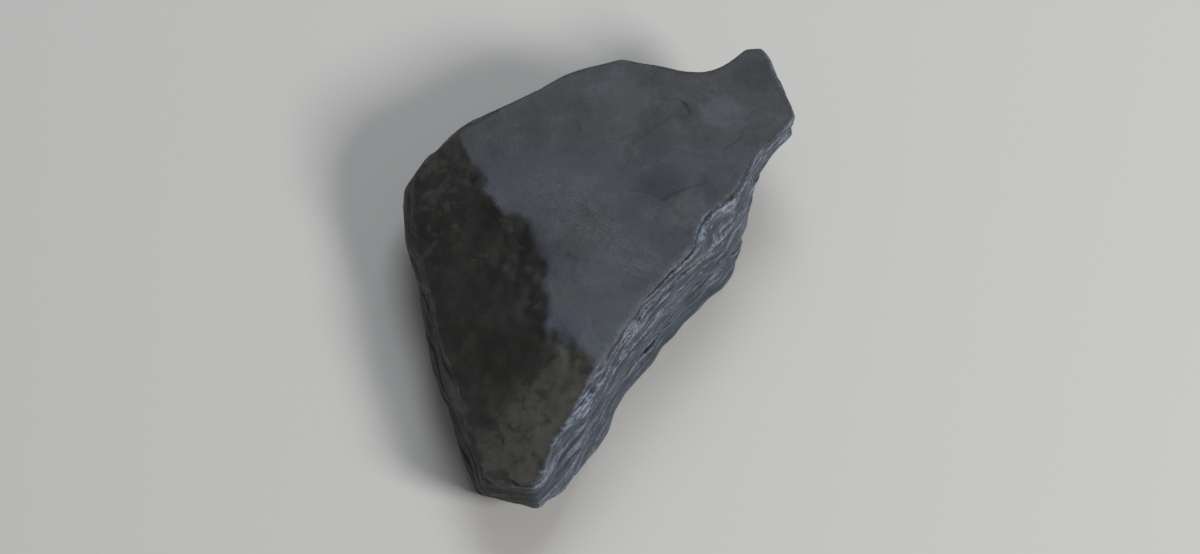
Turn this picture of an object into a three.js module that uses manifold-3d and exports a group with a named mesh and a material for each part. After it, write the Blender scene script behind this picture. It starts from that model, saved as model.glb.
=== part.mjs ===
// A lump of black, bedded coal, as it breaks out of the seam: one solid piece of rock.
//
// Millimetres, +Z up. The origin is the centre of the lump's box, on the surface it rests on. The broad
// cleavage face is on top and the flat underside rests at z = 0. +Y points along the lump's length, from
// the narrow tip to the broad end, and the tall broken wall with the bed edges faces +X and -Y.
//
// The lump is made the way it broke: a stack of beds with ragged outlines, split along the bedding on top,
// then faceted by joint planes and bitten by shell-shaped scars.
import * as THREE from "three";
import { mergeVertices } from "three/addons/utils/BufferGeometryUtils.js";
import Module from "manifold-3d";

// Driving dimensions
const THICKNESS = 16; // from the resting face to the cleavage face, at the middle
const BED_SLOPE = [0.06, -0.06]; // rise of every bed per millimetre of x and of y
const STEP_ALONG_EDGE = 2.4; // spacing of the corners along a bed's broken edge
const RAGGEDNESS = 0.25; // most that a corner stands in or out of the bed's edge
const BED_LAP = 0.05; // a bed sinks this far into the one under it, so that they fuse
const DEEPEST_BED = -8; // below the resting face, where the lowest bed starts before it is cut flat
const BIG = 200; // edge of the block that a plane cuts away

// Corners of the cleavage face, seen from above, anticlockwise from the right-hand corner of the horn
const OUTLINE = [
  [25.1, 20.8],
  [22.4, 27.7],
  [20.9, 32.5], // tip of the horn
  [17.8, 32.3],
  [14.8, 29.7],
  [9.0, 29.3],
  [3.0, 30.9], // back corner
  [-2.7, 29.2],
  [-7.5, 27.2],
  [-15.8, 22.2],
  [-22.3, 20.4], // left shoulder
  [-24.8, 15.2],
  [-25.1, 9.4],
  [-23.8, 2.4],
  [-22.4, -5.1],
  [-20.2, -10.9],
  [-18.4, -15.6],
  [-16.4, -21.8],
  [-15.0, -26.8],
  [-13.6, -28.2],
  [-7.5, -28.9], // narrow tip
  [-4.1, -25.5],
  [-1.4, -20.2],
  [0.9, -15.7], // the tall broken wall runs up from here
  [3.1, -10.8],
  [6.6, -6.0],
  [10.7, -0.4],
  [15.6, 4.3],
  [18.3, 9.0],
  [20.0, 14.4],
];

// Each bed: its top above the resting face, at the middle, and how far its broken edge stands out
const BEDS = [
  [3.3, 0.15],
  [5.4, -0.1],
  [8.0, 0.2],
  [9.1, -0.15],
  [11.8, 0.1],
  [12.9, -0.15],
  [14.9, 0],
  [THICKNESS, 0.2],
];

// Joint planes: a point on each, and the way it faces. What lies beyond it has broken away.
const JOINTS = [
  { at: [-13.6, 10.5, 14.8], facing: [-0.46, -0.106, 1] }, // left face, falling away from the cleavage face
  { at: [-6.2, -10, 16.2], facing: [-0.378, -0.179, 1] }, // face of the tip
  { at: [12.5, 21, 15.5], facing: [0.006, 0.106, 1] }, // face of the horn
  { at: [-20.4, 19.6, 11.2], facing: [-0.62, 0.6, 0.5] }, // spalled left shoulder
  { at: [-24.2, 6, 8.7], facing: [-0.78, -0.1, 0.62] }, // bevel along the left edge
  { at: [-16.6, -22, 9.2], facing: [-0.83, -0.22, 0.5] }, // bevel left of the tip
  { at: [14.8, 5.6, 16.4], facing: [0.79, -0.54, 0.27] }, // lean of the tall wall under the chipped edge
  { at: [-7, -23.4, 0], facing: [0.45, -0.62, -0.64] }, // underside of the tip, towards the tall wall
  { at: [-14, -24.5, 0], facing: [-0.2, -0.85, -0.5] }, // underside of the tip's end
  { at: [-17.3, -16, 0], facing: [-0.92, -0.25, -0.3] }, // undercut left of the tip
  { at: [-22.3, 0, 0], facing: [-0.93, -0.1, -0.42] }, // undercut left side
  { at: [-20.4, 15.8, 0], facing: [-0.75, 0.5, -0.6] }, // undercut left shoulder
  { at: [-6, 25.4, 0], facing: [-0.36, 0.86, -0.62] }, // undercut back
  { at: [12, 27, 0], facing: [0.1, 0.72, -0.69] }, // underside behind the horn
  { at: [15, 11.6, 0], facing: [0.6, 0.2, -0.77] }, // underside of the horn
];

// Shell-shaped scars: the centre and radii of the ball that fits each
const SCARS = [
  { centre: [12.2, 39.5, 13], radii: [8.5, 11, 17] }, // bite between back corner and horn
  { centre: [27, 14, 2], radii: [9.2, 12, 10.2] }, // hollow under the horn's edge
  { centre: [7.9, -31.5, 14.5], radii: [15, 15, 15] }, // flake off the tip's edge, on the tall wall's side
  { centre: [18.6, 2.7, 19.1], radii: [7, 7, 7] }, // flake off the top of the tall wall
  { centre: [-11, 38.3, 2.5], radii: [13, 13, 9] }, // hollow low in the back
];

const wasm = await Module();
wasm.setup();

// A closed three.js geometry as a manifold-3d solid.
function solidOf(geometry) {
  const bare = geometry.index ? geometry.toNonIndexed() : geometry.clone();
  bare.deleteAttribute("normal");
  bare.deleteAttribute("uv");
  const merged = mergeVertices(bare, 1e-4);
  return new wasm.Manifold(
    new wasm.Mesh({
      numProp: 3,
      vertProperties: merged.attributes.position.array,
      triVerts: new Uint32Array(merged.index.array),
    }),
  );
}

// A manifold-3d solid as a three.js geometry.
function geometryOf(solid) {
  const mesh = solid.getMesh();
  const geometry = new THREE.BufferGeometry();
  geometry.setAttribute(
    "position",
    new THREE.BufferAttribute(mesh.vertProperties, 3),
  );
  geometry.setIndex(new THREE.BufferAttribute(mesh.triVerts, 1));
  return geometry;
}

// A repeatable number from -1 to 1 for corner i of bed k.
function unevenness(k, i) {
  const s = Math.sin(k * 127.1 + i * 311.7) * 43758.5453;
  return 2 * (s - Math.floor(s)) - 1;
}

// The lump's outline as the broken edge of bed k, standing out by the given distance.
function bedEdge(k, standsOut) {
  const corners = OUTLINE.map(([x, y]) => new THREE.Vector2(x, y));
  const edge = [];
  corners.forEach((from, i) => {
    const to = corners[(i + 1) % corners.length];
    const along = to.clone().sub(from);
    const outward = new THREE.Vector2(along.y, -along.x).normalize();
    const steps = Math.max(1, Math.round(along.length() / STEP_ALONG_EDGE));
    for (let s = 0; s < steps; s++) {
      const push = standsOut + RAGGEDNESS * unevenness(k, edge.length);
      edge.push(
        from
          .clone()
          .addScaledVector(along, s / steps)
          .addScaledVector(outward, push),
      );
    }
  });
  return edge;
}

// One bed: its ragged outline, extruded from the bed below to its own top, and tilted with the bedding.
function bed(k) {
  const [top, standsOut] = BEDS[k];
  const bottom = k ? BEDS[k - 1][0] - BED_LAP : DEEPEST_BED;
  const slab = new THREE.ExtrudeGeometry(
    new THREE.Shape(bedEdge(k, standsOut)),
    { depth: top - bottom, bevelEnabled: false },
  );
  slab.translate(0, 0, bottom);
  const [riseX, riseY] = BED_SLOPE;
  return slab.applyMatrix4(
    new THREE.Matrix4(1, 0, 0, 0, 0, 1, 0, 0, riseX, riseY, 1, 0, 0, 0, 0, 1),
  );
}

// The big block beyond a plane, which takes away what broke off there.
function beyond({ at, facing }) {
  const block = new THREE.BoxGeometry(BIG, BIG, BIG).translate(0, 0, BIG / 2);
  const turn = new THREE.Quaternion().setFromUnitVectors(
    new THREE.Vector3(0, 0, 1),
    new THREE.Vector3(...facing).normalize(),
  );
  block.applyQuaternion(turn);
  return block.translate(...at);
}

// The ball whose surface is a scar's hollow.
function scar({ centre, radii }) {
  return new THREE.IcosahedronGeometry(1, 7)
    .scale(...radii)
    .translate(...centre);
}

let lump = BEDS.map((_, k) => solidOf(bed(k))).reduce((a, b) => a.add(b));
for (const joint of JOINTS) lump = lump.subtract(solidOf(beyond(joint)));
for (const hollow of SCARS) lump = lump.subtract(solidOf(scar(hollow)));
const restingFace = { at: [0, 0, 0], facing: [0, 0, -1] };
lump = lump.subtract(solidOf(beyond(restingFace)));

// The origin moves to the centre of the lump's box, at the resting face.
const shape = geometryOf(lump);
shape.computeBoundingBox();
const middle = shape.boundingBox.getCenter(new THREE.Vector3());
shape.translate(-middle.x, -middle.y, -shape.boundingBox.min.z);

const coalLump = new THREE.Mesh(
  shape,
  new THREE.MeshStandardMaterial({
    color: 0x2e3033,
    roughness: 0.5,
    metalness: 0,
  }),
);
coalLump.name = "coal_lump";

const group = new THREE.Group();
group.add(coalLump);
export default group;
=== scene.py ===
# %% [markdown]
# # A lump of bedded coal
#
# The object is one broken piece of black rock, about as long as a thumb. It split along a bed on top,
# which left a broad, almost flat cleavage face with a satin sheen. On its right it broke across the
# beds, which left a tall rough wall where every thin layer shows as a pale, fibrous line. On its left
# and at its narrow tip two more cracks left darker, browner faces that fall away.
#
# The solid model already has the lump's true size and its main faces. This lesson carves the fine
# surface into it and gives it its finish.

import math

import bmesh
import bpy
import numpy as np
import openvdb
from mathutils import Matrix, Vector


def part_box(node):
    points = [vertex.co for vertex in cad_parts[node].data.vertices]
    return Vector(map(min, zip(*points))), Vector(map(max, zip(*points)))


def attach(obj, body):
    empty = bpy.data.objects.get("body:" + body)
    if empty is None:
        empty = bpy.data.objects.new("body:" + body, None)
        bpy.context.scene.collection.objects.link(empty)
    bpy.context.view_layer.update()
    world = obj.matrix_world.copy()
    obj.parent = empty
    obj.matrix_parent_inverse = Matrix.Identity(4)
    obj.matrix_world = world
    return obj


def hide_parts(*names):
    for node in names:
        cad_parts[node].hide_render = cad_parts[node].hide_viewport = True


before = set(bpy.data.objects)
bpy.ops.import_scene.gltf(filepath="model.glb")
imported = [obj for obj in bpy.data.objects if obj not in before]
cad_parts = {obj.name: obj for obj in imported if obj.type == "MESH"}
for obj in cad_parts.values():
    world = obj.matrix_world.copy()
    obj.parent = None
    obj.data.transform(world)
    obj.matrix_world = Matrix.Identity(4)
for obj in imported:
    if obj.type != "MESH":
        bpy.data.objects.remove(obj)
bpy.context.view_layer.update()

MM = 0.001
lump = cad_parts["coal_lump"]
lump_low, lump_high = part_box("coal_lump")
lump_centre = (lump_low + lump_high) / 2
lump_size = lump_high - lump_low
print("lump", [round(side / MM, 1) for side in lump_size], "mm")

# %% [markdown]
# ## The camera
#
# The lump lies flat, and it is seen from in front and well above, so that the whole cleavage face shows
# and the broken wall shows as a strip on the right. A long lens from some way off keeps the faces in
# proportion. How far off follows from how much of the image's height the lump should fill.

# %% Camera
CAMERA_HEIGHT_DEG = 62
LENS_MM = 100
SENSOR_MM = 36
IMAGE_ASPECT = 554 / 1200
SHARE_OF_HEIGHT = 0.9
CLIP_FACTOR = 100

steepness = math.radians(CAMERA_HEIGHT_DEG)
back = Vector((0, -math.cos(steepness), math.sin(steepness)))
seen_height = lump_size.y * math.sin(steepness) + lump_size.z * math.cos(steepness)
frame_height_at_1m = SENSOR_MM * IMAGE_ASPECT / LENS_MM
camera_distance = seen_height / SHARE_OF_HEIGHT / frame_height_at_1m

camera = bpy.data.objects.new("camera", bpy.data.cameras.new("camera"))
bpy.context.scene.collection.objects.link(camera)
camera.data.lens = LENS_MM
camera.data.sensor_width = SENSOR_MM
camera.data.clip_start = camera_distance / CLIP_FACTOR
camera.data.clip_end = camera_distance * CLIP_FACTOR
camera.location = lump_centre + back * camera_distance
camera.rotation_mode = "QUATERNION"
camera.rotation_quaternion = (-back).to_track_quat("-Z", "Y")
bpy.context.scene.camera = camera
print("camera", round(camera_distance, 3), "m away")

# %% [markdown]
# ## The beds lie flat
#
# Everything about this rock follows its bedding: it splits along it, and it breaks across it in ledges.
# The carving could follow the tilted beds with a sloping formula each time. It is simpler to turn the
# lump until its beds lie flat. Then a bed is a range of heights, and noise that is squashed in height
# looks like layers.

# %% Turn the lump onto its beds
BEDDING = (-0.06, 0.06, 1)

onto_beds = np.array(Vector(BEDDING).normalized().rotation_difference(Vector((0, 0, 1))).to_matrix())


def turned(points):
    """Points in metres in the model's frame, as millimetres in the bedding's frame."""
    return points / MM @ onto_beds.T


def turned_back(points):
    """Points in millimetres in the bedding's frame, as metres in the model's frame."""
    return points @ onto_beds * MM


corners = turned(np.array([vertex.co for vertex in lump.data.vertices]))
lump.data.calc_loop_triangles()
triangles = np.array([list(face.vertices) for face in lump.data.loop_triangles])
print(len(corners), "corners,", len(triangles), "triangles in the solid model")

# %% [markdown]
# ## The lump as a field of distances
#
# A broken surface has overhangs, ledges and shell-shaped chips, which are hard to push into a mesh
# point by point. Sculptors of rock in code use a distance field instead: a grid of numbers that says
# how deep inside the rock each point is, below zero inside and above zero outside. Adding a depth to
# the field takes that much off the surface, and taking the higher of two fields cuts one shape out of
# the other. The grid is made by OpenVDB, which comes with Blender.

# %% Distance field
VOXEL = 0.16
BAND_MM = 3.2
MARGIN_VOXELS = 4

transform = openvdb.createLinearTransform(voxelSize=VOXEL)
solid_grid = openvdb.FloatGrid.createLevelSetFromPolygons(
    corners.astype(np.float32),
    triangles=triangles.astype(np.uint32),
    transform=transform,
    halfWidth=BAND_MM / VOXEL,
)
first = np.floor(corners.min(0) / VOXEL).astype(int) - MARGIN_VOXELS
last = np.ceil(corners.max(0) / VOXEL).astype(int) + MARGIN_VOXELS
shape = tuple(int(n) for n in last - first + 1)
distance = np.zeros(shape, np.float32)
solid_grid.copyToArray(distance, ijk=tuple(int(n) for n in first))
print("grid", shape, "deepest", round(float(distance.min()), 2), "mm")

# %% Where each voxel is
x, y, w = (((first[axis] + np.arange(shape[axis])) * VOXEL).astype(np.float32) for axis in range(3))
X, Y, W = x[:, None, None], y[None, :, None], w[None, None, :]
x_in_model, y_in_model, up_in_model = (
    X * onto_beds[0, axis] + Y * onto_beds[1, axis] + W * onto_beds[2, axis] for axis in range(3)
)
print("the grid is", round(float(w[-1] - w[0]), 1), "mm high")

# %% [markdown]
# ## Repeatable noise
#
# Nature is uneven at every size. One function makes smooth noise over the whole grid: it draws random
# numbers on a coarse lattice and joins them by a cubic spline, one direction at a time, which is quick
# even for millions of points. Each call has its own seed, so the lump comes out the same every time.

# %% Noise


def spline_weights(count, size, phase):
    """How much each number of a coarse row counts at each of `count` voxels."""
    place = np.arange(count) * VOXEL / size + phase
    cell = np.floor(place).astype(int)
    t = place - cell
    parts = [(1 - t) ** 3, 3 * t**3 - 6 * t**2 + 4, -3 * t**3 + 3 * t**2 + 3 * t + 1, t**3]
    weights = np.zeros((count, cell.max() + 4))
    for step, part in enumerate(parts):
        weights[np.arange(count), cell + step] = part / 6
    return weights


def noise(seed, size_x, size_y, size_w=None):
    """Smooth noise with a spread of 1, its bumps as far apart as given; flat in height without size_w."""
    draw = np.random.default_rng(seed)
    sizes = [size_x, size_y] + ([size_w] if size_w else [])
    rows = [spline_weights(shape[axis], size, draw.random()) for axis, size in enumerate(sizes)]
    lattice = draw.standard_normal([row.shape[1] for row in rows])
    for axis, row in enumerate(rows):
        lattice = np.moveaxis(np.tensordot(row, lattice, axes=(1, axis)), 0, axis)
    lattice = lattice / lattice.std()
    return (lattice if size_w else lattice[:, :, None]).astype(np.float32)


def noises(*layers):
    """Flat noises added up, each given as its seed, the millimetres between its bumps and its height."""
    return sum(height * noise(seed, size, size) for seed, size, height in layers)


print("noise 4 mm apart spreads", round(float(noise(1, 4, 4).std()), 2))

# %% [markdown]
# ## Soft steps and averages
#
# Two more helpers come up again and again. A ramp turns any number into a soft yes or no. A blur
# averages the field over a small box, by differences of running sums, which costs the same for any size
# of box.

# %% Ramp and blur


def ramp(value, low, high):
    """0 below low, 1 above high, and a smooth rise between them."""
    t = np.clip((value - low) / (high - low), 0, 1)
    return t * t * (3 - 2 * t)


def blurred(field, reach, axes=(0, 1, 2)):
    """The field averaged over `reach` millimetres each way, twice over."""
    reach = max(1, round(reach / VOXEL))
    width = 2 * reach + 1
    for axis in axes * 2:
        padded = [(0, 0)] * 3
        padded[axis] = (reach + 1, reach)
        sums = np.cumsum(np.pad(field, padded, mode="edge"), axis, dtype=np.float64)
        ends = np.take(sums, range(width, sums.shape[axis]), axis)
        starts = np.take(sums, range(sums.shape[axis] - width), axis)
        field = ((ends - starts) / width).astype(np.float32)
    return field


print("ramp from 2 to 4, read at 3:", ramp(3, 2, 4))

# %% [markdown]
# ## Which way each face was broken
#
# The height of the field's slope tells how the nearest surface lies: 1 or -1 where it lies along the
# beds, and 0 where it cuts straight across them. So `across` is 0 on the cleavage faces and 1 on the
# walls, and `faces_right` is 1 on the side of the tall wall. `rim` grows from 0 on the broad faces to
# about 0.7 at a square edge, because a blurred field is higher wherever rock sticks out.

# %% Walls, faces and rims
SLOPE_REACH = 0.4
RIM_REACH = 1.4
WALL_SOFTNESS = 0.2
RIGHT_SOFTNESS = 0.5
FRONT_SHARE = 0.35
LOOKS_UP = (0.6, 0.88)
LOOKS_DOWN = (0.86, 0.97)
LOOKS_RIGHT = (0.15, 0.6)

slope_x, slope_y, rise = np.gradient(blurred(distance, SLOPE_REACH), VOXEL)
upward = ramp(rise, *LOOKS_UP)
downward = ramp(-rise, *LOOKS_DOWN)
rightward = ramp(slope_x - FRONT_SHARE * slope_y, *LOOKS_RIGHT)
across = blurred((1 - upward - downward).astype(np.float32), WALL_SOFTNESS)
faces_right = blurred(rightward.astype(np.float32), RIGHT_SOFTNESS)
rim = blurred(distance, RIM_REACH) - distance
print("walls make up", round(float(across[np.abs(distance) < VOXEL].mean()), 2), "of the surface")

# %% [markdown]
# ## Two places to treat with care
#
# The solid model's beds leave sharp grooves between them. They are filled here, because the carving
# brings finer ones. And the underside has to stay flat where the lump rests, so the carving fades out
# just above it.

# %% Filled grooves and the resting face
GROOVE_REACH = 0.6
MOST_FILLED = 0.5
REST_FADES_FROM = 0.3
REST_FADES_TO = 2.0

filled = np.minimum(distance, blurred(distance, GROOVE_REACH))
hollows_filled = np.maximum(filled, distance - MOST_FILLED)
near_rest = 1 - ramp(up_in_model - lump_low.z / MM, REST_FADES_FROM, REST_FADES_TO)
print("deepest groove filled by", round(float((distance - hollows_filled).max()), 2), "mm")

# %% [markdown]
# ## The faces by name
#
# Two faces fall away to the left of the broad cleavage face: the left face and the face of the narrow
# tip. A voxel belongs to the face whose plane it is highest above, and the difference in height tells
# how far it is from the arris, which is the line where two faces meet.

# %% Left face and tip
LEFT_FACE = (-0.46, -0.106, 1)
TIP_FACE = (-0.378, -0.179, 1)
FACE_SLOPE = 0.4
TIP_SLOPE = 0.1
ALIKE_DEG = 1


def height_above(facing):
    """How far each voxel lies above the plane of the solid model's face that looks that way."""
    wanted = Vector(facing).normalized()
    alike = [face for face in lump.data.polygons if face.normal.angle(wanted) < math.radians(ALIKE_DEG)]
    middle = turned(np.array(max(alike, key=lambda face: face.area).center))
    normal = onto_beds @ np.array(wanted)
    return X * normal[0] + Y * normal[1] + W * normal[2] - normal @ middle


above_cleavage = height_above(BEDDING)
above_left = height_above(LEFT_FACE)
above_tip = height_above(TIP_FACE)
past_arris = (np.maximum(above_left, above_tip) - above_cleavage) / FACE_SLOPE
past_tip_line = (above_tip - above_left) / TIP_SLOPE
print("the left side reaches", round(float(past_arris.max()), 1), "mm past the arris")

# %% [markdown]
# ## Splinters
#
# Along a broken wall each layer snapped off at its own depth, and each layer broke again along its
# length. So a splinter is one brick in a wall of long thin bricks, and each gets its own depth. The
# bricks of a row fade into each other over the last part of their length, as real splinters taper.
# Between some layers a crack stays open.

# %% Bricks of any size
TABLE_STEP = 0.02
ALONG_WALL = (0.55, 0.83)
START_ALONG = 200
CELLS_IN_ROW = 64
CRACK_MM = 0.2
CRACK_DEPTH = 1.5
SPARE_MM = 3
WAVER_MM = 0.5

warp = noises((11, 16, 0.25), (12, 5, 0.03))
along_wall = X * ALONG_WALL[0] + Y * ALONG_WALL[1] + START_ALONG + WAVER_MM * noise(13, 3, 3, 1)


def splinters(seed, thinnest, thickest, shortest, longest, taper, crack_share=0.0):
    """A depth from 0 to 1 for each voxel's splinter; along some layers a deeper crack is open."""
    draw = np.random.default_rng(seed)
    rows = []
    count = 0
    while len(rows) * TABLE_STEP < w[-1] - w[0] + 2 * SPARE_MM:
        rows += [count] * int(draw.uniform(thinnest, thickest) / TABLE_STEP)
        if draw.random() < crack_share:
            rows += [-1] * int(CRACK_MM / TABLE_STEP)
        count += 1
    row = ((W - w[0] + SPARE_MM + warp) / TABLE_STEP).astype(np.int32)
    layer = np.array(rows, np.int32)[np.clip(row, 0, len(rows) - 1)]
    length = draw.uniform(shortest, longest, count).astype(np.float32)
    start = draw.uniform(0, CELLS_IN_ROW, count).astype(np.float32)
    place = along_wall / length[layer] + start[layer]
    cell = place.astype(np.int32)
    depths = draw.random((count, CELLS_IN_ROW)).astype(np.float32)
    here = depths[layer, cell % CELLS_IN_ROW]
    there = depths[layer, (cell + 1) % CELLS_IN_ROW]
    tapered = here + (there - here) * ramp(place - cell, 1 - taper, 1)
    return np.where(layer < 0, np.float32(CRACK_DEPTH), tapered)


print("the layers wander by", round(float(warp.max() - warp.min()), 2), "mm over the lump")

# %% [markdown]
# ## The broken walls
#
# The rock is layered at three sizes: beds a millimetre or two thick, laminae of a few tenths, and
# leaves thinner than that. Each size is one wall of splinters, and the thinner ones cut less deep. Slow
# noise makes the ledges come and go along the wall and lets it bulge. The tall wall on the right broke
# more evenly than the others.

# %% Layers of three sizes
beds = splinters(21, thinnest=1.0, thickest=2.4, shortest=12, longest=30, taper=0.12, crack_share=0.6)
laminae = splinters(22, thinnest=0.35, thickest=0.8, shortest=4, longest=14, taper=0.5)
leaves = splinters(23, thinnest=0.18, thickest=0.36, shortest=2, longest=7, taper=0.6)
print("beds", beds.shape, "mean", round(float(beds.mean()), 2))

# %% Depth of the walls
BED_DEPTH = 0.6
LESS_ON_RIGHT = 0.2
FEW_DEEP_BEDS = 1.5
LAMINA_DEPTH = 0.36
LEAF_DEPTH = 0.14
BULGE_HEIGHT = 0.16
MORE_ELSEWHERE = 0.14
BULGE_BASE = 1.5
SHALLOWEST = 0.05

coming_and_going = 0.65 + 0.35 * np.tanh(noise(24, 7, 7, 1.5))
bulge_height = BULGE_HEIGHT + MORE_ELSEWHERE * (1 - faces_right)
bulges = bulge_height * (noise(25, 6, 6, 3) + BULGE_BASE)
bed_depth = (BED_DEPTH - LESS_ON_RIGHT * faces_right) * beds**FEW_DEEP_BEDS
wall_depth = (bed_depth + LAMINA_DEPTH * laminae) * coming_and_going + LEAF_DEPTH * leaves + bulges
wall_depth = np.maximum(wall_depth, SHALLOWEST)
print("wall depth", round(float(wall_depth.mean()), 2), "mm on average")

# %% [markdown]
# ## The cleavage faces
#
# A face that split along a bed is smooth but never flat: it swells gently. Towards its rims the topmost
# layers have peeled off in thin shallow steps with ragged edges, and here and there an island of one
# thin layer has flaked off in the middle. Steps like these come from noise that is cut at a level, as a
# map's contours are.

# %% Swells
SWELL_BASE = 0.22

swell = SWELL_BASE + noises((31, 10, 0.08), (32, 3.5, 0.03), (39, 1.2, 0.01))
ragged = noises((33, 1.6, 1.0), (34, 0.6, 0.5))
print("the cleavage face swells by", round(float(swell.max() - swell.min()), 2), "mm")

# %% Peeled rims and flaked islands
LEAF_MM = 0.05
PEEL_EDGES = ((0.2, 0.24), (0.4, 0.44))  # between which values of near_rim each layer's step lies
PEEL_DEPTHS = (0.12, 0.16)
ISLAND_EDGES = ((0.7, 0.76), (1.25, 1.31))
ISLAND_RAGGED = 0.12
HORN_STARTS = 26
HORN_ENDS = 32

patchy = ramp(noise(45, 6, 6), -0.2, 1.0)
on_horn = ramp(0.5 * x_in_model + y_in_model, HORN_STARTS, HORN_ENDS)
near_rim = rim * (0.4 + patchy + 0.25 * ragged) * (1 - on_horn)
peeled = sum(deep * ramp(near_rim, *step) for deep, step in zip(PEEL_DEPTHS, PEEL_EDGES))
islands = noise(49, 8, 5) + ISLAND_RAGGED * ragged
flaked = LEAF_MM * sum(ramp(islands, *step) for step in ISLAND_EDGES)
print("rims peeled by up to", round(float(peeled.max()), 2), "mm")

# %% [markdown]
# ## Flake scars
#
# A knock on a split face springs off a thin flake and leaves a scar like half a shell: a crisp step on
# the side that was knocked, and a floor that rises to nothing on the other side. There are only a few,
# so they are listed one by one.

# %% Flake scars
SCAR_STEP = 0.3
SCAR_LENGTH = 1.7
SCAR_HOLLOW = 1.5
CROOKED_MM = 0.8
SCAR_RAGGED = 0.12

# x and y in millimetres, half width, depth at the step, and the way to the step in degrees from +X
FLAKE_SCARS = (
    (8.6, 8.6, 2.3, 0.17, 285),
    (11.4, 19.6, 1.7, 0.14, 35),
    (5.6, 14.6, 1.8, 0.11, 200),
    (17.4, 14.6, 1.5, 0.12, 320),
    (-5.4, 17.5, 2.0, 0.09, 60),
    (2.2, -9.0, 1.5, 0.08, 140),
)

crooked_x = CROOKED_MM * noise(52, 2.6, 2.6) + SCAR_RAGGED * ragged
crooked_y = CROOKED_MM * noise(53, 2.6, 2.6) - SCAR_RAGGED * ragged


def flake_scar(x_mm, y_mm, half_width, deepest, step_deg):
    """How deep a scar goes at each voxel: it is longer along its step than towards it."""
    towards = math.radians(step_deg)
    dx, dy = X - x_mm + crooked_x, Y - y_mm + crooked_y
    to_step = (dx * math.cos(towards) + dy * math.sin(towards)) / half_width
    along_step = (dy * math.cos(towards) - dx * math.sin(towards)) / (half_width * SCAR_LENGTH)
    inside = 1 - np.sqrt(to_step * to_step + along_step * along_step)
    return deepest * np.clip(0.5 + 0.5 * to_step, 0, 1) ** SCAR_HOLLOW * ramp(inside, 0, SCAR_STEP)


scars = sum(flake_scar(*scar) for scar in FLAKE_SCARS)
face_depth = swell + peeled + flaked + scars
print("face depth", round(float(face_depth.mean()), 2), "mm on average")

# %% [markdown]
# ## The first cut
#
# Now the depths come off. Cuts alone would make the lump smaller, so the surface is first let out a
# little everywhere and then cut back, apart from the resting face.

# %% Carve walls and faces
STANDS_OUT = 0.2
SKIN = 0.02

depth = face_depth * (1 - across) + wall_depth * across - STANDS_OUT
depth = depth * (1 - near_rest) + SKIN
carved = hollows_filled + depth.astype(np.float32)
print("cut", round(float(depth.min()), 2), "to", round(float(depth.max()), 2), "mm deep")

# %% [markdown]
# ## The crooked arris
#
# The left face and the tip were broken by a second and third crack, and a real crack is not ruled.
# Their planes are cut again a little deeper, by an uneven amount, so the line where they meet the
# cleavage face wanders. In two places a shallow shell came away and took the line well into the
# cleavage face. The places are distances along the lump, in millimetres.

# %% Left face and tip, cut again
SHELL_PLACES = (-15.8, -10.9, -7.7, -3.0, 4.5, 7.8, 16.3)
SHELL_DEPTHS = (0.6, 0.05, 0.05, 1.05, 0.85, 0.05, 0.1)
ARRIS_ROUNDING = 0.3
ARRIS_REACHES = (1, 4)
WANDER_BASE = 0.2
RAVEL_ELSEWHERE = 0.35

near_arris = 1 - ramp(np.abs(past_arris), *ARRIS_REACHES)
ravel = noises((37, 1.8, 0.14), (38, 0.7, 0.08))
ravel_share = RAVEL_ELSEWHERE + (1 - RAVEL_ELSEWHERE) * near_arris
wander = WANDER_BASE + noises((36, 4, 0.17)) + ravel * ravel_share
shell = np.interp(y_in_model, SHELL_PLACES, SHELL_DEPTHS).astype(np.float32)
side_depth = np.maximum(shell + wander + 0.5 * swell, SHALLOWEST) - STANDS_OUT
side = np.maximum(above_left, above_tip) + side_depth
blend = np.maximum(ARRIS_ROUNDING - np.abs(carved - side), 0) / ARRIS_ROUNDING
carved = np.maximum(carved, side) + blend * blend * ARRIS_ROUNDING / 4
arris_side = (side - above_cleavage - swell) / FACE_SLOPE
print("the left side is cut", round(float(side_depth.max()), 2), "mm deep at most")

# %% [markdown]
# ## Chips along the sharp edges
#
# Where two faces meet, small shell-shaped chips have sprung off. A chip's hollow is part of a ball, so
# each one is a ball cut out of the field, with its middle well outside the rock. First the solid
# model's sharp edges are found, because that is where chips spring from.

# %% Sharp edges
SHARP_DEG = 32
SAME_POINT_MM = 0.001


def sharp_edges():
    """Each sharp, outward edge of the solid model: its two ends and the way it points."""
    mesh = bmesh.new()
    mesh.from_mesh(lump.data)
    bmesh.ops.remove_doubles(mesh, verts=mesh.verts, dist=SAME_POINT_MM * MM)
    found = []
    for edge in mesh.edges:
        is_outward = len(edge.link_faces) == 2 and edge.is_convex
        if is_outward and edge.calc_face_angle() > math.radians(SHARP_DEG):
            outward = (edge.link_faces[0].normal + edge.link_faces[1].normal).normalized()
            ends = turned(np.array([vertex.co for vertex in edge.verts]))
            found.append((ends[0], ends[1], onto_beds @ np.array(outward)))
    mesh.free()
    return found


edges = sharp_edges()
lengths = np.array([np.linalg.norm(b - a) for a, b, _ in edges])
print(len(edges), "sharp edges,", round(float(lengths.sum())), "mm in all")

# %% Cut a ball
THICK_ENOUGH = 2.0
OPEN_SHARE = 0.5
BALL_MARGIN = 3


def voxel_at(place):
    """The index of the voxel nearest to a place in the bedding's frame."""
    return np.round(place / VOXEL).astype(int) - first


def is_thick(spot, outward):
    """True if there is rock enough under a spot on an edge for a chip to spring off it."""
    return distance[tuple(voxel_at(spot - outward * THICK_ENOUGH))] <= -0.5 * THICK_ENOUGH


def is_open(centre, radius):
    """True if a ball's middle is well outside the rock, so that it takes a chip and drills no hole."""
    middle = voxel_at(centre)
    in_grid = (middle >= 0).all() and (middle < shape).all()
    return in_grid and distance[tuple(middle)] > OPEN_SHARE * radius


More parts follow.
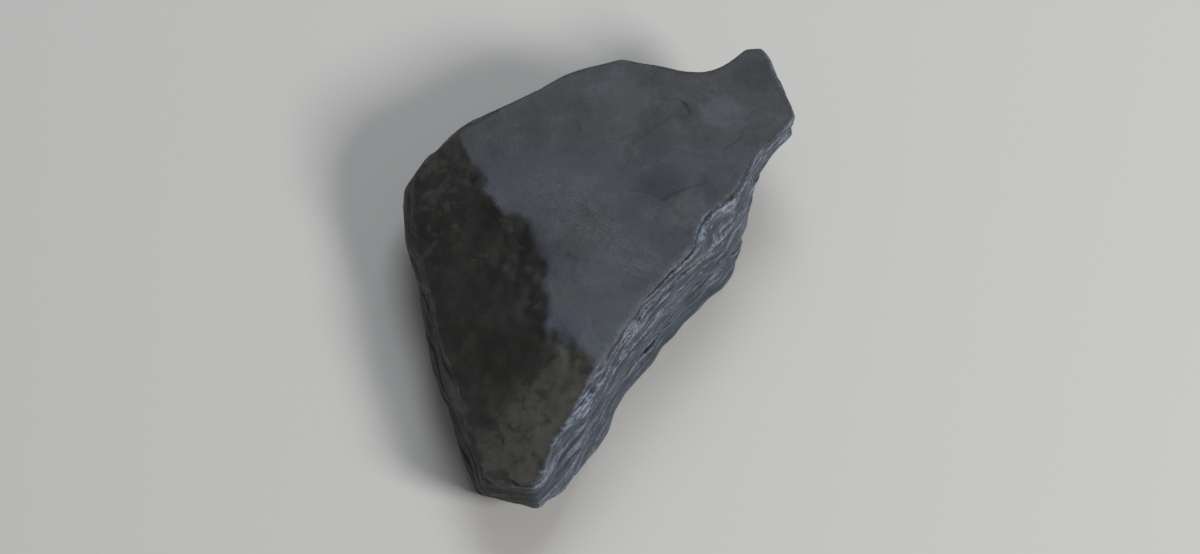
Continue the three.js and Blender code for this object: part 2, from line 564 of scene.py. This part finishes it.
def cut_ball(field, centre, radii):
    """Takes a ball out of the field; radii are its half sizes along x, y and w."""
    low = np.floor((centre - radii) / VOXEL).astype(int) - first - BALL_MARGIN
    high = np.ceil((centre + radii) / VOXEL).astype(int) - first + BALL_MARGIN + 1
    low, high = np.clip(low, 0, shape), np.clip(high, 0, shape)
    part = tuple(slice(a, b) for a, b in zip(low, high))
    places = [axis[cut] for axis, cut in zip((x, y, w), part)]
    dx, dy, dw = np.meshgrid(*[(p - c) / r for p, c, r in zip(places, centre, radii)], indexing="ij")
    outside_ball = (np.sqrt(dx * dx + dy * dy + dw * dw) - 1) * min(radii)
    field[part] = np.maximum(field[part], -outside_ball)


print("a chip needs", THICK_ENOUGH, "mm of rock behind the edge")

# %% Chips
CHIP_COUNT = 220
SMALLEST_BALL = 0.7
BALL_RANGE = 4.5
MOSTLY_SMALL = 1.6
BITE_SHARES = (0.16, 0.3)
LEAN = 0.35
FLATTENING = (0.6, 0.9)

draw = np.random.default_rng(41)
chips = 0
for pick in draw.choice(len(edges), CHIP_COUNT, p=lengths / lengths.sum()):
    start, end, outward = edges[pick]
    radius = SMALLEST_BALL * BALL_RANGE ** draw.random() ** MOSTLY_SMALL
    bite = radius * draw.uniform(*BITE_SHARES)
    spot = start + (end - start) * draw.random()
    lean = draw.normal(0, LEAN, 3)
    away = (outward + lean) / np.linalg.norm(outward + lean)
    radii = radius * np.array([1, 1, draw.uniform(*FLATTENING)])
    centre = spot + away * (radius - bite)
    if is_thick(spot, outward) and is_open(centre, radius):
        cut_ball(carved, centre, radii)
        chips += 1
print(chips, "chips cut")

# %% [markdown]
# ## Wear
#
# Handling rounds the sharpest edges. A blurred copy of the field is higher than the field itself where
# the rock sticks out, so the difference finds the edges, and adding some of it takes them down. The
# upright corners of a wall are rounded on their own first, by a blur that leaves out the height, so
# that the ledges stay crisp. The last difference is kept for the finish: edges are paler, partly as
# crushed rock and partly as a painted highlight, and deep cracks are darker with painted shade.

# %% Worn edges
CORNER_REACH = 0.6
CORNER_WEAR = 0.6
CORNER_SPARED = 0.03
EDGE_REACH = 0.2
FACE_WEAR = 0.4
WALL_WEAR = 0.15

sticks_out = blurred(carved, CORNER_REACH, axes=(0, 1)) - carved
upright_corners = np.maximum(0, sticks_out - CORNER_SPARED)
carved = carved + CORNER_WEAR * upright_corners * across
wear = FACE_WEAR - (FACE_WEAR - WALL_WEAR) * across
carved = carved + wear * np.maximum(0, blurred(carved, EDGE_REACH) - carved)
relief = blurred(carved, SLOPE_REACH) - carved
print("relief", [round(float(v), 3) for v in np.percentile(relief[np.abs(carved) < VOXEL], [2, 50, 98])])

# %% [markdown]
# ## From field to mesh
#
# OpenVDB lays quads over the field's zero surface. Crumbs that the carving cut loose are dropped, and a
# Decimate modifier thins the mesh where it is flat, which keeps the detail for the broken wall.

# %% Keep the lump, drop the crumbs


def largest_island(points, faces):
    """The points and faces of the biggest part: every point takes its lowest neighbour's number in turn."""
    label = np.arange(len(points))
    while True:
        lowest = label[faces].min(axis=1)
        before = label.copy()
        np.minimum.at(label, faces.ravel(), np.repeat(lowest, faces.shape[1]))
        label = label[label]
        if (label == before).all():
            break
    values, counts = np.unique(label, return_counts=True)
    kept = label == values[counts.argmax()]
    renumber = np.cumsum(kept) - 1
    return points[kept], renumber[faces[kept[faces[:, 0]]]]


carved_grid = openvdb.FloatGrid(float(carved.max()))
carved_grid.transform = transform
carved_grid.copyFromArray(carved, ijk=tuple(int(n) for n in first))
all_points, all_quads = carved_grid.convertToQuads(isovalue=0.0)
points, quads = largest_island(all_points, all_quads.astype(int))
print(len(all_quads), "quads,", len(all_quads) - len(quads), "of them on crumbs")

# %% Mesh
MOST_TRIANGLES = 190000

mesh = bpy.data.meshes.new("carved")
mesh.from_pydata(turned_back(points).tolist(), [], quads.tolist())
rock = bpy.data.objects.new("coal_lump_surface", mesh)
bpy.context.scene.collection.objects.link(rock)

thin = rock.modifiers.new("thin", "DECIMATE")
thin.ratio = min(1.0, MOST_TRIANGLES / (2 * len(quads)))
evaluated = rock.evaluated_get(bpy.context.evaluated_depsgraph_get())
rock.data = bpy.data.meshes.new_from_object(evaluated)
rock.modifiers.clear()
bpy.data.meshes.remove(mesh)
rock.data.name = "coal_lump_surface"
rock.data.polygons.foreach_set("use_smooth", [True] * len(rock.data.polygons))
print("thinned to", len(rock.data.polygons), "faces")

# %% [markdown]
# ## Which way the faces look
#
# A face has a front and a back, and an object's faces should all have their fronts outside. A render
# doesn't show it when they don't, because both sides of a face are lit, but other programs then see the
# rock inside out. The volume inside the mesh tells: it comes out below zero if the fronts are inside.

# %% Volume
CM3 = 1e-6

measured = bmesh.new()
measured.from_mesh(rock.data)
volume = measured.calc_volume(signed=True) / CM3
measured.free()
if volume <= 0:
    raise ValueError("the rock's faces look inwards")
print("volume", round(volume, 1), "cm3")

# %% [markdown]
# ## What the mesh tells the finish
#
# The field knows things that a finish needs: which face a point is on, how worn it is, how deep in a
# crack, and which layer of the rock it cuts. Each is read from the field at the mesh's points and kept
# on the mesh as a named number.

# %% Read the field at the mesh's points
IS_WALL = (0.35, 0.6)
IS_WORN = (0.02, 0.12)
ARRIS_BAND = (-0.4, 0.4)
ARRIS_RAGGED = 0.25
FOOT_BAND = (0.8, 4.5)
TIP_BAND = (-3, 3)


def sampled(field):
    """The field's value at each of the mesh's points."""
    at = turned(np.array([vertex.co for vertex in rock.data.vertices])) / VOXEL - first
    cell = np.floor(at).astype(int)
    t = at - cell
    total = np.zeros(len(at))
    for corner in np.ndindex(2, 2, 2):
        share = np.prod(np.where(corner, t, 1 - t), axis=1)
        i, j, k = np.clip(cell + corner, 0, np.array(field.shape) - 1).T
        total += share * field[i, j, k]
    return total


def keep_on_mesh(name, values):
    """Stores a number for each point of the mesh, for the finish to read."""
    made = rock.data.attributes.new(name, "FLOAT", "POINT")
    made.data.foreach_set("value", values.astype(np.float32))
    print(name, "from", round(float(values.min()), 2), "to", round(float(values.max()), 2))


ragged_arris = arris_side + ARRIS_RAGGED * noise(51, 0.9, 0.9)
keep_on_mesh("across", ramp(sampled(across), *IS_WALL))
# edge marks worn edges, which the finish paints pale, partly as a painted highlight.
keep_on_mesh("edge", ramp(sampled(relief), *IS_WORN))
# crack marks hollows, which the finish darkens as painted shade.
keep_on_mesh("crack", ramp(-sampled(relief), *IS_WORN))
keep_on_mesh("layer", sampled(np.broadcast_to(W + warp, shape)))
# left marks the left face and the tip, which the finish paints dark, partly as painted shade.
keep_on_mesh("left", sampled(ramp(ragged_arris, *ARRIS_BAND)))
# foot marks the band below the arris, which the finish darkens as painted shade.
keep_on_mesh("foot", sampled(1 - ramp(arris_side, *FOOT_BAND)))
# right picks the wall that faces the light, which the finish paints as a lit copy of the rock.
keep_on_mesh("right", sampled(faces_right))
keep_on_mesh("tip", sampled(ramp(past_tip_line + 2 * wander, *TIP_BAND)))

# %% [markdown]
# ## Writing a finish as sums
#
# A finish is worked out at every point of the surface from a few numbers: noise, the depth of a crack,
# how worn an edge is. Blender holds such sums as nodes, and a finish like this one needs more than a
# hundred. They could be placed one by one, but the thought behind them is easier to read as a sum. The
# first class below wraps a node's output so that ordinary Python sums add the nodes. The second adds
# any other node, and knows the few mixtures that come up again and again.

# %% Sums on sockets


class Wire:
    """An output socket that can be used in sums with numbers and other wires."""

    def __init__(self, socket):
        self.socket = socket
        self.tree = socket.id_data

    def beside(self, name):
        """Another output of the same node."""
        return Wire(self.socket.node.outputs[name])

    def feed(self, slot):
        """Joins the wire to an input socket."""
        self.tree.links.new(self.socket, slot)

    def sum(self, operation, first, second):
        made = self.tree.nodes.new("ShaderNodeMath")
        made.operation = operation
        fill(made.inputs[0], first)
        fill(made.inputs[1], second)
        return Wire(made.outputs[0])

    def __add__(self, other):
        return self.sum("ADD", self, other)

    __radd__ = __add__

    def __sub__(self, other):
        return self.sum("SUBTRACT", self, other)

    def __rsub__(self, other):
        return self.sum("SUBTRACT", other, self)

    def __mul__(self, other):
        return self.sum("MULTIPLY", self, other)

    __rmul__ = __mul__


def fill(slot, value):
    """Feeds an input socket from a wire, or sets it to a plain value."""
    if isinstance(value, Wire):
        value.feed(slot)
    else:
        slot.default_value = value


print("a wire can be added, subtracted and multiplied")

# %% A finish

# A Mix node has its colours at these places among its sockets, after those for numbers and vectors.
MIX_FIRST = 6
MIX_SECOND = 7
MIX_RESULT = 2


class Finish:
    """A material whose nodes are added by name."""

    def __init__(self, name):
        self.material = bpy.data.materials.new(name)
        self.material.use_nodes = True
        self.tree = self.material.node_tree
        self.surface = self.tree.nodes["Principled BSDF"]

    def node(self, kind, settings, sockets, output=0):
        """Adds one node: its settings first, then the values or wires of its sockets."""
        made = self.tree.nodes.new(kind)
        for name, value in settings.items():
            setattr(made, name, value)
        for name, value in sockets.items():
            fill(made.inputs[name], value)
        return Wire(made.outputs[output])

    def vector(self, operation, first, second, output="Vector"):
        """A Vector Math node on two vectors."""
        return self.node("ShaderNodeVectorMath", {"operation": operation}, {0: first, 1: second}, output)

    def joined(self, x, y, z):
        """A vector made of three numbers."""
        return self.node("ShaderNodeCombineXYZ", {}, {0: x, 1: y, 2: z})

    def mix(self, share, first, second):
        """The first colour where share is 0 and the second where it is 1."""
        sockets = {0: share, MIX_FIRST: first, MIX_SECOND: second}
        return self.node("ShaderNodeMix", {"data_type": "RGBA"}, sockets, MIX_RESULT)

    def glaze(self, under, colour, mask, strength):
        """A colour laid over what is under it, as strong as given where the mask is 1."""
        return self.mix(mask * strength, under, colour)

    def ramp(self, value, low, high):
        """0 below low, 1 above high, and a smooth rise between them."""
        sockets = {"Value": value, "From Min": low, "From Max": high}
        return self.node("ShaderNodeMapRange", {"interpolation_type": "SMOOTHSTEP"}, sockets)

    def from_mesh(self, name):
        """A number that the mesh holds for each of its points."""
        return self.node("ShaderNodeAttribute", {"attribute_name": name}, {}, "Fac")

    def grain(self, place, scale, detail=2.0, roughness=0.5):
        """Smooth noise about 0.5, at `scale` bumps to the millimetre."""
        sockets = {"Vector": place, "Scale": scale, "Detail": detail, "Roughness": roughness}
        return self.node("ShaderNodeTexNoise", {}, sockets, "Fac")

    def set(self, name, value):
        """Feeds the surface's socket of that name from a wire, or sets it to a plain value."""
        fill(self.surface.inputs[name], value)

    def count(self):
        return len(self.tree.nodes)


coal = Finish("coal")
print("the new finish starts with", coal.count(), "nodes")

# %% [markdown]
# ## Where on the lump
#
# The finish reads the numbers that the mesh kept, and the place of each point in millimetres. The place
# is the object's own, so the finish stays on the rock when the rock is moved.

# %% Places and numbers
place = coal.node("ShaderNodeTexCoord", {}, {}, "Object")
place = coal.node("ShaderNodeVectorMath", {"operation": "SCALE"}, {0: place, "Scale": 1 / MM})
px = coal.node("ShaderNodeSeparateXYZ", {}, {0: place}, "X")
py = px.beside("Y")
across_beds = coal.from_mesh("across")
edge = coal.from_mesh("edge")
crack = coal.from_mesh("crack")
layer = coal.from_mesh("layer")
left = coal.from_mesh("left")
foot = coal.from_mesh("foot")
right = coal.from_mesh("right")
tip = coal.from_mesh("tip")
print("places and numbers take", coal.count(), "nodes")

# %% [markdown]
# ## Cloudy noise and leafed noise
#
# Split faces are cloudy: their tones drift over a few millimetres. Four sizes of noise cover that, from
# broad mottling to fine grain. Broken walls are leafed: each leaf of the rock keeps its own tone, and
# the tone changes only along the leaf. Stretched noise alone looks like brushed metal, because it has
# no borders. So the layer's number is rounded down to a whole leaf before the noise reads it, and every
# leaf gets a crisp border.

# %% Clouds
mottle = coal.grain(place, 0.14, detail=3.0, roughness=0.55)
blotch = coal.grain(place, 0.3, detail=3.0, roughness=0.55)
cloud = coal.grain(place, 0.5, detail=4.0, roughness=0.6)
fine = coal.grain(place, 3.5, detail=3.0, roughness=0.65)
print("with clouds", coal.count(), "nodes")

# %% Leaves
LEAF_JUMP = 7.3


def stretched(along, across_layers):
    """The place with the layer for its height, and scaled, so that noise runs along the layers."""
    return coal.joined(px * along, py * along, layer * across_layers)


def leafed(thickness, length):
    """Noise that is the same right through a leaf of that thickness, and changes slowly along the leaf."""
    leaf = coal.node("ShaderNodeMath", {"operation": "FLOOR"}, {0: layer * (1 / thickness) + cloud})
    on_leaf = coal.joined(px * (1 / length), py * (1 / length), leaf * LEAF_JUMP)
    return coal.grain(on_leaf, 1.0, detail=2.0, roughness=0.6)


streak = leafed(thickness=0.4, length=4.5)
thread = leafed(thickness=0.13, length=2.2)
band = coal.grain(stretched(0.06, 0.9), 1.0)
print("with leaves", coal.count(), "nodes")

# %% [markdown]
# ## The colour of the cleavage face
#
# The split face is a dark grey that leans to blue in front and to stone grey at the back, with plum and
# slate clouds between. Blotches make it a little darker and paler all over. The colours are laid one
# over another, as thin glazes are.

# %% Cleavage face
BLUE_GREY = (0.035, 0.038, 0.047, 1)
PLUM_GREY = (0.030, 0.030, 0.045, 1)
SLATE_GREY = (0.030, 0.032, 0.037, 1)
STONE_GREY = (0.041, 0.039, 0.0375, 1)
FRONT_BLUE = (0.056, 0.061, 0.076, 1)
FACE_DARK = (0.0125, 0.0135, 0.017, 1)
FACE_PALE = (0.070, 0.0745, 0.084, 1)

at_back = coal.ramp(py + 24 * mottle, 14, 34)
at_front = coal.ramp(py + 10 * mottle, 5, -8)
face = coal.mix(coal.ramp(mottle + 0.3 * cloud, 0.58, 0.74), BLUE_GREY, PLUM_GREY)
face = coal.glaze(face, SLATE_GREY, coal.ramp(cloud, 0.42, 0.62), strength=0.8)
face = coal.glaze(face, STONE_GREY, at_back, strength=0.8)
face = coal.glaze(face, FRONT_BLUE, at_front, strength=0.8)
face = coal.glaze(face, FACE_DARK, coal.ramp(blotch, 0.52, 0.68), strength=0.5)
face = coal.glaze(face, FACE_PALE, coal.ramp(blotch, 0.47, 0.33), strength=0.45)
print("with the cleavage face", coal.count(), "nodes")

# %% [markdown]
# ## Stains and painted shade
#
# Water and the films it leaves have tinted the split face in a few places: lilac, beige, moss green and
# rose, all very faint, and some patches are just paler or darker. Noise can't be told where to put a
# patch, so these are given in a list. Each is a soft disc whose edge is broken up by the clouds.

# %% Stains and painted shade
LILAC = (0.040, 0.043, 0.062, 1)
BEIGE = (0.028, 0.0265, 0.0235, 1)
MOSS = (0.056, 0.058, 0.049, 1)
ROSE = (0.068, 0.061, 0.065, 1)
CORE_SHARE = 0.4
BROKEN_SHARE = 1.6

# x and y in millimetres, how far the patch reaches, its strength and its colour
STAINS_AND_SHADE_PATCHES = (
    (-9.9, 12.0, 6.0, 0.6, LILAC),
    (-1.7, 2.2, 6.0, 0.9, BEIGE),
    (4.3, 21.9, 3.5, 0.8, MOSS),
    (10.9, 5.5, 3.0, 0.8, ROSE),
    (-4.2, -11.0, 3.0, 0.9, LILAC),
    (-5.3, -6.3, 2.8, 0.8, MOSS),
    (15.3, 20.1, 3.5, 0.8, FACE_PALE),
    (0.2, -3.0, 4.0, 0.5, FACE_PALE),
    # The next three dark patches lie over flake scars: painted shade in their hollows.
    (7.1, 15.2, 2.8, 0.7, FACE_DARK),
    (10.9, 19.5, 2.2, 0.6, FACE_DARK),
    (7.7, 9.3, 3.8, 0.9, FACE_DARK),
    (20.3, 25.8, 4.0, 0.8, FACE_DARK),
)

seen_from_above = coal.joined(px, py, 0.0)


def soft_patch(x_mm, y_mm, reach):
    """1 at a place seen from above, fading to 0 at `reach` millimetres, with a broken edge."""
    far = coal.vector("DISTANCE", seen_from_above, (x_mm, y_mm, 0.0), "Value")
    return coal.ramp(far + BROKEN_SHARE * reach * (cloud - 0.5), reach, CORE_SHARE * reach)


for x_mm, y_mm, reach, strength, tint in STAINS_AND_SHADE_PATCHES:
    face = coal.glaze(face, tint, soft_patch(x_mm, y_mm, reach), strength)
print(len(STAINS_AND_SHADE_PATCHES), "stains, now", coal.count(), "nodes")

# %% [markdown]
# ## The colour of the left face and the tip
#
# These faces broke across the grain of the rock, so they are matt and nearly black, with a warm cast.
# Their darkness is partly their own colour and partly painted shade, since they turn from the light.
# The tip is olive and the far end is a little greyer. Painted shade darkens the foot of the step under
# the arris and the left rim. Dust and crumbs in brown and olive lie scattered over them.

# %% Left face and tip colours
WARM_BLACK = (0.0140, 0.0104, 0.0056, 1)
WARM_GREY = (0.034, 0.031, 0.026, 1)
OLIVE_BLACK = (0.088, 0.080, 0.059, 1)
CRUMB_OLIVE = (0.068, 0.061, 0.043, 1)
# Near black: random blotches of the rock, and painted shade at the foot of the arris and the left rim.
SIDE_BLACK_AND_SHADE = (0.0050, 0.0046, 0.0040, 1)
SIDE_DUST = (0.037, 0.033, 0.0270, 1)

far_end = coal.ramp(py + 12 * mottle, 10, 24)
left_rim_shade = coal.ramp(px + 4 * cloud, -16, -21)
crumbs = coal.ramp(cloud + 0.3 * fine + 0.01 * py, 0.72, 0.86)
# The dark warm base is partly the rock's colour and partly painted shade, as these faces turn from the
# light.
side = coal.glaze(WARM_BLACK, WARM_GREY, far_end, strength=0.5)
side = coal.mix(tip * coal.ramp(cloud, 0.2, 0.55), side, OLIVE_BLACK)
side = coal.glaze(side, SIDE_BLACK_AND_SHADE, coal.ramp(blotch, 0.5, 0.64), strength=0.6)
# Painted shade at the foot of the step under the arris.
side = coal.glaze(side, SIDE_BLACK_AND_SHADE, foot * coal.ramp(cloud, 0.38, 0.6), strength=0.7)
side = coal.glaze(side, SIDE_DUST, coal.ramp(blotch, 0.46, 0.32), strength=0.5)
# Painted shade towards the left rim, which turns away from the light.
side = coal.glaze(side, SIDE_BLACK_AND_SHADE, left_rim_shade, strength=0.45)
side = coal.glaze(side, CRUMB_OLIVE, crumbs, strength=0.55)
# The left face and the tip take their colour, darker partly as painted shade.
face = coal.mix(left, face, side)
print("with the left face and the tip", coal.count(), "nodes")

# %% [markdown]
# ## The colour of the broken walls
#
# The tall wall faces the light and is painted as a lit copy of the rock: the ends of the leaves show as
# pale blue threads of painted glint, most of them in its upper beds, over a darker blue grey. The other
# walls are the same rock painted as a shaded copy, without the glints: dark grey with faint pale lines.

# %% Walls
# The tall wall's colours are a painted lit copy of the rock; SIDE_DARK and SIDE_PALE are its painted shaded
# copy.
WALL_DARK = (0.019, 0.024, 0.034, 1)
WALL_MID = (0.051, 0.066, 0.092, 1)
WALL_GLINT = (0.25, 0.31, 0.41, 1)
SIDE_DARK = (0.016, 0.0155, 0.0145, 1)
SIDE_PALE = (0.060, 0.058, 0.054, 1)

# Painted glints on the leaf ends, most of them in the upper beds.
upper_beds = coal.ramp(layer + 6 * band, 8, 14)
painted_glints = coal.ramp(streak + 0.9 * thread, 1.02, 1.14) * (0.25 + 0.75 * upper_beds)
wall = coal.mix(coal.ramp(streak + 0.6 * thread, 0.62, 0.84), WALL_DARK, WALL_MID)
wall = coal.glaze(wall, WALL_MID, coal.ramp(band, 0.35, 0.6), strength=0.35)
wall = coal.mix(painted_glints, wall, WALL_GLINT)
# Painted shade: the walls that face away from the light get a darker copy of the rock.
shaded_walls = coal.mix(coal.ramp(streak + 0.6 * thread, 0.7, 1.0), SIDE_DARK, SIDE_PALE)
wall = coal.mix(right, shaded_walls, wall)
colour = coal.mix(across_beds, face, wall)
print("with the walls", coal.count(), "nodes")

# %% [markdown]
# ## Grain, worn edges with painted highlight, and cracks with painted shade
#
# Fine dark grain covers everything. Where an edge is crushed the powdered rock is pale, and it comes
# off in patches; the pale edge is also a painted highlight, strongest along the tall wall, which faces
# the light. Cracks and hollows stay black with painted shade.

# %% Grain, edges and cracks
# Pale: crushed rock and painted highlight on the edges.
CRUSHED_AND_HIGHLIGHT = (0.26, 0.28, 0.32, 1)
# Near black: the fine grain, and painted shade in cracks and hollows.
GRAIN_AND_SHADE_BLACK = (0.006, 0.006, 0.007, 1)

crushed_and_highlit = edge * coal.ramp(fine + 0.6 * cloud, 0.66, 0.98)
colour = coal.glaze(colour, GRAIN_AND_SHADE_BLACK, coal.ramp(fine, 0.3, 0.7), strength=0.18)
# Pale edges, partly crushed rock and partly painted highlight, strongest on the wall that faces the light.
colour = coal.mix(crushed_and_highlit * (0.25 + 0.7 * right), colour, CRUSHED_AND_HIGHLIGHT)
# Painted shade: cracks and hollows darkened near black, most on the walls.
colour = coal.mix(crack * (0.25 + 0.6 * across_beds), colour, GRAIN_AND_SHADE_BLACK)
coal.set("Base Color", colour)
print("with edges and cracks", coal.count(), "nodes")

# %% [markdown]
# ## Gloss
#
# The split face has a satin sheen that the clouds break up. The leaf ends on the tall wall are a little
# glossier, and the left side is duller. Dense carbon-rich rock bends light more than glass does, so its
# index is higher.

# %% Gloss
INDEX = 1.6

roughness = 0.42 + 0.2 * fine + 0.14 * cloud
coal.set("Roughness", roughness - 0.12 * across_beds * right + 0.1 * left)
coal.set("IOR", INDEX)
print("with gloss", coal.count(), "nodes")

# %% [markdown]
# ## Relief finer than the mesh
#
# Relief under about a tenth of a millimetre would take millions of triangles, so a bump stands in for
# it. On the walls it has the same leaves as the colour, and small tilted facets: the cells of a Voronoi
# pattern, each a flat ramp in its own direction. On the split faces it is only grain and clouds.

# %% Facets
FACET_ALONG = 0.5
FACET_ACROSS = 3.0

facet_place = stretched(FACET_ALONG, FACET_ACROSS)
cell_colour = coal.node("ShaderNodeTexVoronoi", {}, {"Vector": facet_place, "Scale": 1.0}, "Color")
tilt = coal.vector("SUBTRACT", cell_colour, (0.5, 0.5, 0.5))
from_centre = coal.vector("SUBTRACT", facet_place, cell_colour.beside("Position"))
facets = coal.vector("DOT_PRODUCT", tilt, from_centre, "Value")
print("with facets", coal.count(), "nodes")

# %% Bump
wall_relief = 0.12 * streak + 0.06 * thread + 0.07 * facets
face_relief = 0.035 * fine + 0.05 * cloud
relief_mm = across_beds * wall_relief + (1 - across_beds) * face_relief
bump_sockets = {"Height": relief_mm, "Distance": MM, "Strength": 1.0}
coal.set("Normal", coal.node("ShaderNodeBump", {}, bump_sockets, "Normal"))
print("the whole finish has", coal.count(), "nodes")

# %% [markdown]
# ## Put the rock in the frame
#
# The carved mesh takes the finish, moves with the part's only body and takes the place of the solid
# model.

# %% Rock in place of the solid model
rock.data.materials.append(coal.material)
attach(rock, "root")
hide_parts("coal_lump")
print(rock.name, "stands for the solid model")

# %% [markdown]
# ## A sheet of paper
#
# Black rock is shown best on something plain and pale, which lights its undersides a little. A large
# square of matt paper lies under the lump, big enough to fill the image from any side.

# %% Floor
FLOOR_HALF = 2.0
PAPER_WHITE = (0.76, 0.72, 0.67, 1)
PAPER_ROUGHNESS = 0.9

floor_mesh = bpy.data.meshes.new("floor")
floor_corners = [(FLOOR_HALF * a, FLOOR_HALF * b, 0) for a, b in ((-1, -1), (1, -1), (1, 1), (-1, 1))]
floor_mesh.from_pydata(floor_corners, [], [(0, 1, 2, 3)])
floor = bpy.data.objects.new("floor", floor_mesh)
bpy.context.scene.collection.objects.link(floor)
paper = Finish("paper")
paper.set("Base Color", PAPER_WHITE)
paper.set("Roughness", PAPER_ROUGHNESS)
floor.data.materials.append(paper.material)
print("floor", 2 * FLOOR_HALF, "m wide")

# %% [markdown]
# ## Soft studio light
#
# A weak blue-white surround fills the shadows. A large panel high behind the lump gives the split face
# its sheen, and a smaller, slightly cool one low on the right rakes along the tall wall, so that every
# leaf shows.

# %% Surround
SURROUND_COLOUR = (0.9, 0.94, 1.0, 1)
SURROUND_STRENGTH = 0.14

bpy.context.scene.view_settings.view_transform = "Standard"
world = bpy.data.worlds.new("studio")
bpy.context.scene.world = world
world.use_nodes = True
background = world.node_tree.nodes["Background"]
background.inputs["Color"].default_value = SURROUND_COLOUR
background.inputs["Strength"].default_value = SURROUND_STRENGTH
print("surround", SURROUND_STRENGTH)

# %% Panels


def panel(name, azimuth_deg, height_deg, distance, size, watts, colour):
    """A soft square light that faces the lump, its azimuth counted from the front towards the right."""
    a, e = math.radians(azimuth_deg), math.radians(height_deg)
    towards = Vector((math.sin(a) * math.cos(e), -math.cos(a) * math.cos(e), math.sin(e)))
    light = bpy.data.lights.new(name, "AREA")
    light.shape = "SQUARE"
    light.size = size
    light.energy = watts
    light.color = colour
    placed = bpy.data.objects.new(name, light)
    bpy.context.scene.collection.objects.link(placed)
    placed.location = lump_centre + towards * distance
    placed.rotation_mode = "QUATERNION"
    placed.rotation_quaternion = (-towards).to_track_quat("-Z", "Y")
    print(name, watts, "W,", distance, "m away")


panel("sky_panel", 172, 54, distance=0.9, size=0.5, watts=3.1, colour=(0.84, 0.91, 1.0))
panel("key_panel", 58, 34, distance=0.8, size=0.22, watts=4.0, colour=(0.95, 0.98, 1.0))
